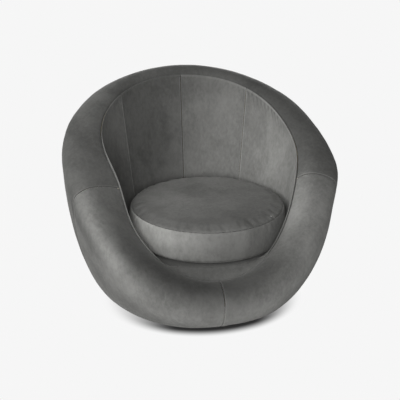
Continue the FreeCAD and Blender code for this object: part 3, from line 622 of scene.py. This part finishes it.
# inner panels facing the lamps take the lit copy of the velvet, those facing away the shaded copy
innerPanels = [
    ("innerBackLeft", back, 180, "inner_panel_back_left", "velvetLight", 0.5, "inner_foam_back_left"),
    ("innerBackRight", -180, -back, "inner_panel_back_right", "velvetDark", 0.5, "inner_foam_back_right"),
    ("innerSideLeft", apron, back, "inner_panel_side_left", "velvetLight", 0.8, "inner_foam_side_left"),
    ("innerSideRight", -back, -apron, "inner_panel_side_right", "velvetDark", 0.8, "inner_foam_side_right"),
    ("apronPanel", -apron, apron, "apron_panel", "velvet", 0.36, "apron_foam"),
]
for name, start, end, node, finish, length, carrier in innerPanels:
    bulge = 0.0 if node == "apron_panel" else 0.004
    piece, area = panelPiece(name, start, end, finish, node, bulge)
    declareStretched(area, length)
print("inner panels made")

cushion = {
    "centre": (0.029656, -0.023759),
    "radius": 0.292,
    "seamIn": 0.006,
    "bottom": 0.2643,
    "height": 0.137,
    "topSeamDrop": 0.015,
    "bottomSeamRise": 0.008,
    "topTurns": (2.2, 48.0),
    "bottomTurns": (1.0, 40.0),
    "cover": 0.0015,
    "frames": 20,
    "cap": 0.006,
}
clothSettings = {
    "quality": 5,
    "mass": 0.4,
    "tension_stiffness": 12,
    "compression_stiffness": 12,
    "shear_stiffness": 6,
    "bending_stiffness": 1.5,
    "shrink_min": -0.012,
    "use_pressure": True,
    "uniform_pressure_force": 3.0,
    "vertex_group_mass": "held",
}
zipStrip = {
    # half the strip and the slit, each as where it starts to fade and where it is gone
    "stripAngle": (58.0, 63.0),
    "stripHeight": (0.014, 0.028),
    "slitAngle": (56.5, 57.5),
    "slitHeight": (0.0026, 0.0046),
    "slitDepth": 0.0028,
    "rows": (-0.0075, -0.0046, -0.0026, 0.0, 0.0026, 0.0046, 0.0075),
}


def dome(level, seam, turns, side):
    # height of the shallow dome and its rounder shoulder at each radius
    a, e = [math.radians(t) for t in turns]
    run, drop = seam[0], abs(level - seam[1])
    p, q = math.sin(a), math.sin(e) - math.sin(a)
    r, t = 1 - math.cos(a), math.cos(a) - math.cos(e)
    det = p * t - q * r
    flat, shoulder = (run * t - drop * q) / det, (p * drop - r * run) / det
    turnAt = flat * math.sin(a)
    centre = (flat - shoulder) * math.sin(a), level - side * flat + side * (flat - shoulder) * math.cos(a)

    def height(radius):
        inner = level - side * (flat - np.sqrt(flat ** 2 - np.minimum(radius, turnAt) ** 2))
        reach = np.clip(shoulder ** 2 - (radius - centre[0]) ** 2, 0, None)
        return np.where(radius <= turnAt, inner, centre[1] + side * np.sqrt(reach))

    return height


def cushionRows():
    # the outline from the top's middle to the bottom's, with the seams' row numbers
    c = cushion
    seamRadius = c["radius"] - c["seamIn"]
    top, bottom = c["bottom"] + c["height"], c["bottom"]
    topSeam = (seamRadius, top - c["topSeamDrop"])
    lowSeam = (seamRadius, bottom + c["bottomSeamRise"])
    fine = np.array([0.0, 0.0014, 0.003, 0.005, 0.008, 0.012, 0.017, 0.024])
    across = np.concatenate([np.linspace(0.0, seamRadius - 0.031, 34), seamRadius - fine[::-1]])
    rows = [(r, float(z)) for r, z in zip(across, dome(top, topSeam, c["topTurns"], 1)(across))]
    first = len(rows) - 1
    tall = topSeam[1] - lowSeam[1]
    slit = tall / 2 + np.array(zipStrip["rows"])
    upper, lower = np.linspace(0.018, tall / 2 - 0.012, 6), np.linspace(tall / 2 + 0.012, tall - 0.018, 6)
    down = np.concatenate([fine[1:6], upper, slit, lower, tall - fine[1:6][::-1], [tall]])
    for d in down:
        rows.append((seamRadius + c["seamIn"] * (1 - (2 * d / tall - 1) ** 2), topSeam[1] - d))
    second = len(rows) - 1
    across = np.concatenate([seamRadius - fine[1:], np.linspace(seamRadius - 0.031, 0.0, 26)])
    rows += [(r, float(z)) for r, z in zip(across, dome(bottom, lowSeam, c["bottomTurns"], -1)(across))]
    return rows, first, second


def cushionShell():
    # the whole cover as one grid, blown up a little by cloth simulation
    rows, first, second = cushionRows()
    columns = 288
    turns = np.radians(np.arange(columns) * 360.0 / columns + 0.5)
    cx, cy = cushion["centre"]
    points = np.zeros((len(rows), columns, 3))
    for i, (r, z) in enumerate(rows):
        r = max(r, 0.0004)
        points[i, :, 0] = cx + r * np.sin(turns)
        points[i, :, 1] = cy - r * np.cos(turns)
        points[i, :, 2] = z
    return points, first, second, turns


def blowUp(points, first, second):
    # cloth simulation with both seams and the bottom held; the outcome is capped
    start = points.copy()
    piece = gridMesh("cushionBlank", points, None, True)
    held = piece.vertex_groups.new(name="held")
    columns = points.shape[1]
    rows = points.shape[0]
    for row in (first, second):
        held.add([row * columns + j for j in range(columns)], 1.0, "REPLACE")
    held.add(list(range((second + 1) * columns, rows * columns)), 1.0, "REPLACE")
    cloth = piece.modifiers.new("cloth", "CLOTH")
    for key, value in clothSettings.items():
        setattr(cloth.settings, key, value)
    cloth.settings.effector_weights.gravity = 0.0
    cloth.point_cache.frame_start = 1
    cloth.point_cache.frame_end = cushion["frames"]
    scene = bpy.context.scene
    for number in range(1, cushion["frames"] + 1):
        scene.frame_set(number)
    done = piece.evaluated_get(bpy.context.evaluated_depsgraph_get())
    moved = np.zeros(len(piece.data.vertices) * 3)
    done.data.vertices.foreach_get("co", moved)
    moved = moved.reshape(points.shape)
    scene.frame_set(1)
    bpy.data.objects.remove(piece)
    shift = moved - start
    size = np.linalg.norm(shift, axis=2, keepdims=True)
    shift *= np.minimum(1.0, cushion["cap"] / np.maximum(size, 1e-9))
    print("cushion simulated, largest move", round(float(size.max()), 4))
    return start + shift


def zipLevel():
    c = cushion
    return c["bottom"] + c["bottomSeamRise"] + (c["height"] - c["topSeamDrop"] - c["bottomSeamRise"]) / 2


def makeCushion():
    plain, first, second, turns = cushionShell()
    points = blowUp(plain, first, second)
    rows = np.arange(points.shape[0])
    # the firm strips either side of the zip keep the plain outline, with a slit for the teeth
    aside = np.abs(np.degrees(turns)[None, :] - 180.0)
    above = np.abs(plain[..., 2] - zipLevel())
    onBand = ((rows > first) & (rows < second))[:, None]
    z = zipStrip
    strip = onBand * (1 - smooth(*z["stripAngle"], aside)) * (1 - smooth(*z["stripHeight"], above))
    slit = onBand * (1 - smooth(*z["slitAngle"], aside)) * (1 - smooth(*z["slitHeight"], above))
    points = points + (plain - points) * strip[..., None]
    path = np.concatenate([[0], np.cumsum(np.linalg.norm(np.diff(points[:, 0], axis=0), axis=1))])
    distance = np.minimum(np.abs(path - path[first]), np.abs(path - path[second]))
    edge = np.repeat(distance[:, None], points.shape[1], axis=1)
    normal = gridNormals(points, True)
    wave = noiseAt(points, 9.0, 8.0) * 0.0016 + noiseAt(points, 30.0, 9.0) * 0.0004
    angle = turns[None, :] + 0 * edge
    pull = np.sin(angle * 61 + 3 * np.sin(angle * 7)) * np.exp(-(edge / 0.012) ** 2) * smooth(0, 0.003, edge)
    lift = seamDip(edge, 0.0030, 0.0026, 0.0010) + wave * smooth(0.0, 0.03, edge) + pull * 0.0007
    lift = np.where(rows[:, None] > second, np.minimum(lift, 0.0), lift)
    lift = lift * (1 - strip) - z["slitDepth"] * slit
    points = points + normal * lift[..., None]
    # the slit counts as a seam, so the painted seam shade darkens it
    edge = np.minimum(edge, 0.05 - 0.05 * smooth(0.2, 0.8, slit))
    cx, cy = cushion["centre"]
    turnGrid = np.degrees(turns)[None, :] + 0 * edge
    spread = np.hypot(points[..., 0] - cx, points[..., 1] - cy)
    # painted light and shade on the cushion's top and band, none on its bottom
    paintedLightByPiece = {"cushionTop": paintedLightOf("cushionTop", turnGrid, spread, 0.98),
            "cushionBand": paintedLightOf("cushionBand", turnGrid, points[..., 2], 1.5),
            "cushionBottom": 1 + 0 * edge}
    parts = [
        ("cushionTop", slice(0, first + 1), ["cushion_top_panel"], (0.60, 0.60)),
        ("cushionBand", slice(first, second + 1), ["cushion_band", "cushion_zip_strips"], (1.86, 0.12)),
        ("cushionBottom", slice(second, None), ["cushion_bottom_panel"], (0.60, 0.60)),
    ]
    for name, span, nodes, flat in parts:
        piece = gridMesh(name, points[span], edge[span], True, paintedLightByPiece[name][span])
        closePoles(piece, (cx, cy))
        thicken(piece, cushion["cover"])
        finishPiece(piece, "cushion", "velvetCushion", nodes)


def closePoles(piece, centre):
    # joins the tiny ring in the middle of a round panel
    work = bmesh.new()
    work.from_mesh(piece.data)
    middle = [v for v in work.verts if math.hypot(v.co.x - centre[0], v.co.y - centre[1]) < 0.002]
    if middle:
        bmesh.ops.pointmerge(work, verts=middle, merge_co=middle[0].co)
    bmesh.ops.dissolve_degenerate(work, edges=work.edges, dist=1e-6)
    work.to_mesh(piece.data)
    work.free()


makeCushion()
print("cushion made")


def stuffedLike(points, onRoll):
    # moves a foam's inner face with the hand stuffing; its back stays on the frame
    away = np.hypot(points[:, 0], points[:, 1])
    turns = np.degrees(np.arctan2(points[:, 0], -points[:, 1]))
    shift = lumps(tub["stuffed"], turns)
    crest = tub["widest"] - around(tub["crestInset"], turns)
    width = around(tub["rollWidth"], turns)
    seam = around(tub["crestHeight"], turns) - around(tub["seamDrop"], turns)
    if onRoll:
        share = np.clip((crest - away) / width, 0, 1)
    else:
        rise = np.clip((points[:, 2] - tub["deckHeight"]) / np.maximum(seam - tub["deckHeight"], 0.02), 0, 1)
        face = tub["deck"] + (crest - width - tub["deck"]) * rise
        share = rise * np.clip(1.3 - 1.3 * (away - face) / tub["foam"], 0, 1)
    shift = shift * share
    if onRoll:
        shift = shift - swelling(turns, points[:, 2]) * np.clip((away - crest) / 0.02, 0, 1)
    ratio = 1 - shift / np.maximum(away, 0.1)
    moved = points.copy()
    moved[:, :2] *= ratio[:, None]
    return moved


def softBlock(name, node, body, voxel, rough=0.0006):
    # a soft block in the place of its plain solid: edges eased, faces slightly uneven
    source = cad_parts[node]
    mesh = source.data.copy()
    mesh.name = name
    mesh.materials.clear()
    piece = linked(name, mesh)
    work = bmesh.new()
    work.from_mesh(mesh)
    bmesh.ops.remove_doubles(work, verts=work.verts, dist=1e-5)
    work.to_mesh(mesh)
    work.free()
    remesh = piece.modifiers.new("remesh", "REMESH")
    remesh.mode = "VOXEL"
    remesh.voxel_size = voxel
    ease = piece.modifiers.new("ease", "SMOOTH")
    ease.factor = 0.5
    ease.iterations = 3
    done = piece.evaluated_get(bpy.context.evaluated_depsgraph_get())
    mesh = bpy.data.meshes.new_from_object(done)
    piece.modifiers.clear()
    piece.data = mesh
    count = len(mesh.vertices)
    points, normals = np.zeros(count * 3), np.zeros(count * 3)
    mesh.vertices.foreach_get("co", points)
    mesh.vertices.foreach_get("normal", normals)
    points, normals = points.reshape(-1, 3), normals.reshape(-1, 3)
    points = stuffedLike(points, name.startswith("roll")) if body == "shell" else points
    dents = np.abs(noiseAt(points, 35.0, 3.0)) * rough + np.abs(noiseAt(points, 150.0, 6.0)) * rough * 0.5
    points = points - normals * (dents + rough * 5)[:, None]
    mesh.vertices.foreach_set("co", points.reshape(-1))
    mesh.polygons.foreach_set("use_smooth", [True] * len(mesh.polygons))
    mesh.update()
    finishPiece(piece, body, "foam", [node])


# each foam's node with the size of its remeshed blocks
softBlocks = {
    "roll_foam_back": 0.008,
    "roll_foam_front_left": 0.008,
    "roll_foam_front_right": 0.008,
    "inner_foam_back_left": 0.007,
    "inner_foam_back_right": 0.007,
    "inner_foam_side_left": 0.008,
    "inner_foam_side_right": 0.008,
    "apron_foam": 0.007,
    "deck_pad": 0.007,
    "cushion_foam": 0.008,
}
for node, voxel in softBlocks.items():
    words = node.split("_")
    name = words[0] + "".join(word.capitalize() for word in words[1:])
    softBlock(name, node, "cushion" if words[0] == "cushion" else "shell", voxel)
print("foams made")

deckCoverSize = {"radius": 0.3296, "level": 0.2639, "thickness": 0.0018}
dustClothSize = {"outer": 0.312, "inner": 0.140, "level": 0.0475, "thickness": 0.0007, "sag": 0.0012}
webbingSize = {"width": 0.060, "pitch": 0.105, "count": 5, "anchor": 0.3104, "thickness": 0.0019,
               "lift": 0.0012}
staples = {"radius": 0.304, "start": 90.0, "sweep": 358.0, "pitch": 0.034,
           "size": (0.010, 0.0005, 0.0006)}
zipTeeth = {"radius": 0.2906, "start": 124.0, "sweep": 112.0, "pitch": 0.0030,
            "size": (0.0013, 0.0044, 0.0024)}


def roundSheet(name, inner, outer, level, thickness, finish, node, sag, facing):
    # a flat round cloth with faint wrinkles; it faces up or down
    radii = np.linspace(outer, max(inner, 0.0005), 24)
    turns = np.radians(np.arange(144) * 2.5)
    if facing < 0:
        radii = radii[::-1]
    points = np.zeros((len(radii), len(turns), 3))
    points[..., 0] = radii[:, None] * np.sin(turns)
    points[..., 1] = -radii[:, None] * np.cos(turns)
    inside = np.sin(np.clip((radii - inner) / (outer - inner), 0, 1) * math.pi)[:, None]
    folds = np.abs(noiseAt(points, 14.0, 11.0)) + 0.5 * np.abs(noiseAt(points, 45.0, 12.0))
    points[..., 2] = level - sag * folds * inside
    piece = gridMesh(name, points, None, True)
    if inner < 0.001:
        closePoles(piece, (0.0, 0.0))
    thicken(piece, thickness)
    finishPiece(piece, "shell", finish, [node])
    return piece


def straps(name, across, node):
    # five elastic straps, over and under the five that cross them
    size = webbingSize
    low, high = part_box("webbing_front_to_back")[0].z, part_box("webbing_side_to_side")[1].z
    middle = (low + high) / 2
    work = bmesh.new()
    for number in range(size["count"]):
        offset = (number - (size["count"] - 1) / 2) * size["pitch"]
        reach = abs(offset) + size["width"] / 2
        half = math.sqrt(size["anchor"] ** 2 - reach ** 2)
        steps = 64
        rings = []
        for i in range(steps + 1):
            run = -half + 2 * half * i / steps
            side = 1 if (number % 2 == 0) == across else -1
            wave = math.cos(math.pi * run / size["pitch"]) * side * size["lift"]
            ring = []
            for a, b in ((-1, -1), (1, -1), (1, 1), (-1, 1)):
                spot = (offset + a * size["width"] / 2, run, middle + wave + b * size["thickness"] / 2)
                ring.append(work.verts.new((spot[1], spot[0], spot[2]) if across else spot))
            rings.append(ring)
        for first, second in zip(rings, rings[1:]):
            for k in range(4):
                work.faces.new((first[k], first[(k + 1) % 4], second[(k + 1) % 4], second[k]))
        work.faces.new(rings[0][::-1])
        work.faces.new(rings[-1])
    bmesh.ops.recalc_face_normals(work, faces=work.faces)
    piece = fromWork(name, work)
    finishPiece(piece, "shell", "webbing", [node])


def wallWadding(name, start, end, node):
    # soft fibre layer between the skin board and the cover
    turns = np.linspace(start, end, 97)
    points = np.zeros((60, len(turns), 3))
    for j, turn in enumerate(turns):
        rim = Rim(turn)
        top = sum(rim.lengths[:3]) + 0.002
        bottom = rim.length - tub["tuckedIn"] - 0.002
        c, s = math.cos(math.radians(turn)), math.sin(math.radians(turn))
        for i, along in enumerate(np.linspace(top, bottom, points.shape[0])):
            r, z, out, up = rim.at(along)
            puff = swelling(turn, z)
            r, z = r - out * 0.0045 + puff * max(out, 0.0), z - up * 0.0045 + puff * min(up, 0.0)
            points[i, j] = (r * s, -r * c, z)
    normal = gridNormals(points)
    points = points + normal * (noiseAt(points, 60.0, 13.0) * 0.0007)[..., None]
    piece = gridMesh(name, points)
    thicken(piece, 0.0072)
    finishPiece(piece, "shell", "wadding", [node])


def cushionWadding():
    # a fibre layer over and under the cushion's foam, as one piece in two halves
    points, first, second, _ = cushionShell()
    normal = gridNormals(points, True)
    soft = points - normal * (0.0048 + noiseAt(points, 60.0, 14.0) * 0.0008)[..., None]
    halves = []
    for number, part in enumerate((soft[:first - 1], soft[second + 2:])):
        half = gridMesh("cushionWadding%d" % number, part, None, True)
        closePoles(half, cushion["centre"])
        thicken(half, 0.0068)
        halves.append(half)
    work = bmesh.new()
    for half in halves:
        done = half.evaluated_get(bpy.context.evaluated_depsgraph_get())
        work.from_mesh(bpy.data.meshes.new_from_object(done))
        bpy.data.objects.remove(half)
    piece = fromWork("cushionWadding", work)
    finishPiece(piece, "cushion", "wadding", ["cushion_wadding"])


def arcTree(name):
    # small blocks at an even pitch along a level arc
    tree = bpy.data.node_groups.new(name, "GeometryNodeTree")
    face, add = tree.interface, tree.nodes.new
    face.new_socket("Geometry", in_out="OUTPUT", socket_type="NodeSocketGeometry")
    for label, kind in (("Radius", "Float"), ("Start", "Float"), ("Sweep", "Float"), ("Pitch", "Float"),
                        ("Size", "Vector"), ("Centre", "Vector"), ("Material", "Material")):
        face.new_socket(label, in_out="INPUT", socket_type="NodeSocket" + kind)
    source = add("NodeGroupInput")
    sink = add("NodeGroupOutput")
    arc = add("GeometryNodeCurveArc")
    arc.inputs["Resolution"].default_value = 240
    points = add("GeometryNodeCurveToPoints")
    points.mode = "LENGTH"
    block = add("GeometryNodeMeshCube")
    place = add("GeometryNodeInstanceOnPoints")
    move = add("GeometryNodeTransform")
    real = add("GeometryNodeRealizeInstances")
    paint = add("GeometryNodeSetMaterial")
    wires = [
        (source, "Radius", arc, "Radius"), (source, "Start", arc, "Start Angle"),
        (source, "Sweep", arc, "Sweep Angle"), (arc, "Curve", points, "Curve"),
        (source, "Pitch", points, "Length"), (source, "Size", block, "Size"),
        (points, "Points", place, "Points"), (points, "Rotation", place, "Rotation"),
        (block, "Mesh", place, "Instance"), (place, "Instances", real, "Geometry"),
        (real, "Geometry", move, "Geometry"), (source, "Centre", move, "Translation"),
        (move, "Geometry", paint, "Geometry"), (source, "Material", paint, "Material"),
        (paint, "Geometry", sink, "Geometry"),
    ]
    for start, output, end, entry in wires:
        tree.links.new(start.outputs[output], end.inputs[entry])
    return tree


blocksAlongArc = arcTree("blocksAlongArc")


def alongArc(name, row, centre, finish, body):
    # runs the tree and keeps its outcome as a plain mesh
    piece = linked(name, bpy.data.meshes.new(name))
    step = piece.modifiers.new("blocks", "NODES")
    step.node_group = blocksAlongArc
    values = {"Radius": row["radius"], "Start": math.radians(row["start"] - 90), "Pitch": row["pitch"],
              "Sweep": math.radians(row["sweep"]), "Size": row["size"], "Centre": centre,
              "Material": finishes[finish]}
    for item in blocksAlongArc.interface.items_tree:
        if item.in_out == "INPUT":
            step[item.identifier] = values[item.name]
    done = piece.evaluated_get(bpy.context.evaluated_depsgraph_get())
    mesh = bpy.data.meshes.new_from_object(done)
    piece.modifiers.clear()
    piece.data = mesh
    if not mesh.materials:
        mesh.materials.append(finishes[finish])
    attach(piece, body)
    return piece


d = deckCoverSize
# the deck cover takes the shaded velvet, painted shade under the cushion
piece = roundSheet("deckCover", 0.0, d["radius"], d["level"], d["thickness"], "velvetDeck", "deck_cover",
                   0.0004, 1)
d = dustClothSize
piece = roundSheet("dustCloth", d["inner"], d["outer"], d["level"], d["thickness"], "lining", "dust_cloth",
                   d["sag"], -1)
alongArc("dustClothStaples", staples, (0, 0, dustClothSize["level"] - 0.0010), "zinc_steel", "shell")
straps("webbingFrontToBack", False, "webbing_front_to_back")
straps("webbingSideToSide", True, "webbing_side_to_side")
wallWadding("wallWaddingLeft", 0.1, 179.9, "wall_wadding_left")
wallWadding("wallWaddingRight", -179.9, -0.1, "wall_wadding_right")
cushionWadding()
piece = alongArc("cushionZipTeeth", zipTeeth, (*cushion["centre"], zipLevel()), "black_plastic", "cushion")
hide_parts("cushion_zip_coil")
print("hidden layers made")

for node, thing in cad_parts.items():
    names = [m.name.split(".")[0] for m in thing.data.materials if m]
    for number, name in enumerate(names):
        if name in finishes:
            thing.data.materials[number] = finishes[name]
        else:
            print("no finish for", node, name)

view = {
    "target": (0.0, 0.0, 0.400),
    "distance": 3.5175,
    "azimuth": 10.262,
    "elevation": 21.161,
    "lens": 83.70,
    "shift": (0.00386, -0.00511),
}


def aimAt(thing, target):
    thing.rotation_euler = (Vector(target) - thing.location).to_track_quat("-Z", "Y").to_euler()


lens = bpy.data.cameras.new("photoCamera")
camera = linked("photoCamera", lens)
a, e = math.radians(view["azimuth"]), math.radians(view["elevation"])
away = view["distance"] * math.cos(e)
camera.location = (-away * math.sin(a), -away * math.cos(a),
                   view["target"][2] + view["distance"] * math.sin(e))
aimAt(camera, view["target"])
lens.lens = view["lens"]
lens.shift_x, lens.shift_y = view["shift"]
bpy.context.scene.camera = camera

lamps = {
    # azimuth from the front, plus to the sitter's left; elevation; distance; size; power
    "side": (-90.0, 25.0, 3.2, 1.4, 29.0),
    "corner": (-65.0, 30.0, 3.2, 1.4, 12.0),
    "high": (-90.0, 60.0, 3.2, 1.4, 16.0),
    "front": (-15.0, 20.0, 3.2, 1.4, 66.0),
    "back": (168.0, 14.0, 3.2, 2.0, 48.0),
}
for name, (azimuth, elevation, distance, size, power) in lamps.items():
    lamp = bpy.data.lights.new(name, "AREA")
    lamp.shape = "DISK"
    lamp.size = size
    lamp.energy = power
    thing = linked(name, lamp)
    a, e = math.radians(azimuth), math.radians(elevation)
    thing.location = (distance * math.cos(e) * math.sin(a), -distance * math.cos(e) * math.cos(a),
                      0.4 + distance * math.sin(e))
    aimAt(thing, (0, 0, 0.4))

backdrop = {"pale": (0.922, 0.922, 0.922), "ambient": 0.10, "shadowReach": (0.297, 0.352), "floorTone": 0.80,
            "floorGlow": 0.90, "shade": (0.012, 0.012, 0.012), "shadeDistance": 0.22,
            "shadeRange": (0.46, 0.92), "shadeSides": (0.14, 0.40),
            "shadowCentre": 0.015, "shadowWide": 0.88}


def paleWorld():
    # the pale backdrop for the camera and for reflections, a plainer level for the rest
    world = bpy.data.worlds.new("paleRoom")
    world.use_nodes = True
    tree = world.node_tree
    tree.nodes.clear()
    add, link = tree.nodes.new, tree.links.new
    path = add("ShaderNodeLightPath")
    most = path.outputs["Is Camera Ray"]
    for ray in ("Is Transmission Ray", "Is Glossy Ray"):
        larger = add("ShaderNodeMath")
        larger.operation = "MAXIMUM"
        link(most, larger.inputs[0])
        link(path.outputs[ray], larger.inputs[1])
        most = larger.outputs[0]
    both = add("ShaderNodeMixShader")
    link(most, both.inputs[0])
    for place, tone, level in ((1, (1, 1, 1), backdrop["ambient"]), (2, backdrop["pale"], 1)):
        light = add("ShaderNodeBackground")
        light.inputs["Color"].default_value = (*tone, 1)
        light.inputs["Strength"].default_value = level
        link(light.outputs[0], both.inputs[place])
    link(both.outputs[0], add("ShaderNodeOutputWorld").inputs[0])
    bpy.context.scene.world = world


def paleFloor():
    # a floor with a soft contact shadow, faded with distance and to both sides, seen by the camera only
    bpy.ops.mesh.primitive_plane_add(size=30.0, location=(0, 0, 0))
    floor = bpy.context.object
    floor.name = "floor"
    f = Finish("paleFloor")
    split = f.add("ShaderNodeSeparateXYZ", {}, {0: f.place})
    x, y = split.wire(0) - backdrop["shadowCentre"], split.wire(1)
    wide = x * backdrop["shadowWide"]
    away = (wide * wide + y * y) ** 0.5
    far = f.ramp(away, *backdrop["shadowReach"])
    aside = f.ramp((x * x) ** 0.5, *backdrop["shadeSides"])
    seen = f.add("ShaderNodeLightPath").wire(0)
    tone = backdrop["floorTone"]
    ground = f.add("ShaderNodeBsdfDiffuse", {}, {0: (tone, tone, tone, 1.0)})
    openSky = f.add("ShaderNodeAmbientOcclusion", {"samples": 16}, {"Distance": backdrop["shadeDistance"]})
    lit = f.ramp(openSky.wire("AO"), *backdrop["shadeRange"])
    tint = f.mix((1 - lit) * (1 - far) * (1 - aside), backdrop["pale"], backdrop["shade"])
    glow = f.add("ShaderNodeEmission", {}, {0: tint, 1: 1.0})
    share = (far * (1 - backdrop["floorGlow"]) + backdrop["floorGlow"]) * seen
    both = f.add("ShaderNodeMixShader", {}, {0: share, 1: ground.wire(0), 2: glow.wire(0)})
    f.add("ShaderNodeOutputMaterial", {}, {0: both.wire(0)})
    floor.data.materials.append(f.material)


paleWorld()
paleFloor()
bpy.context.scene.view_settings.view_transform = "Standard"
print("stage set")
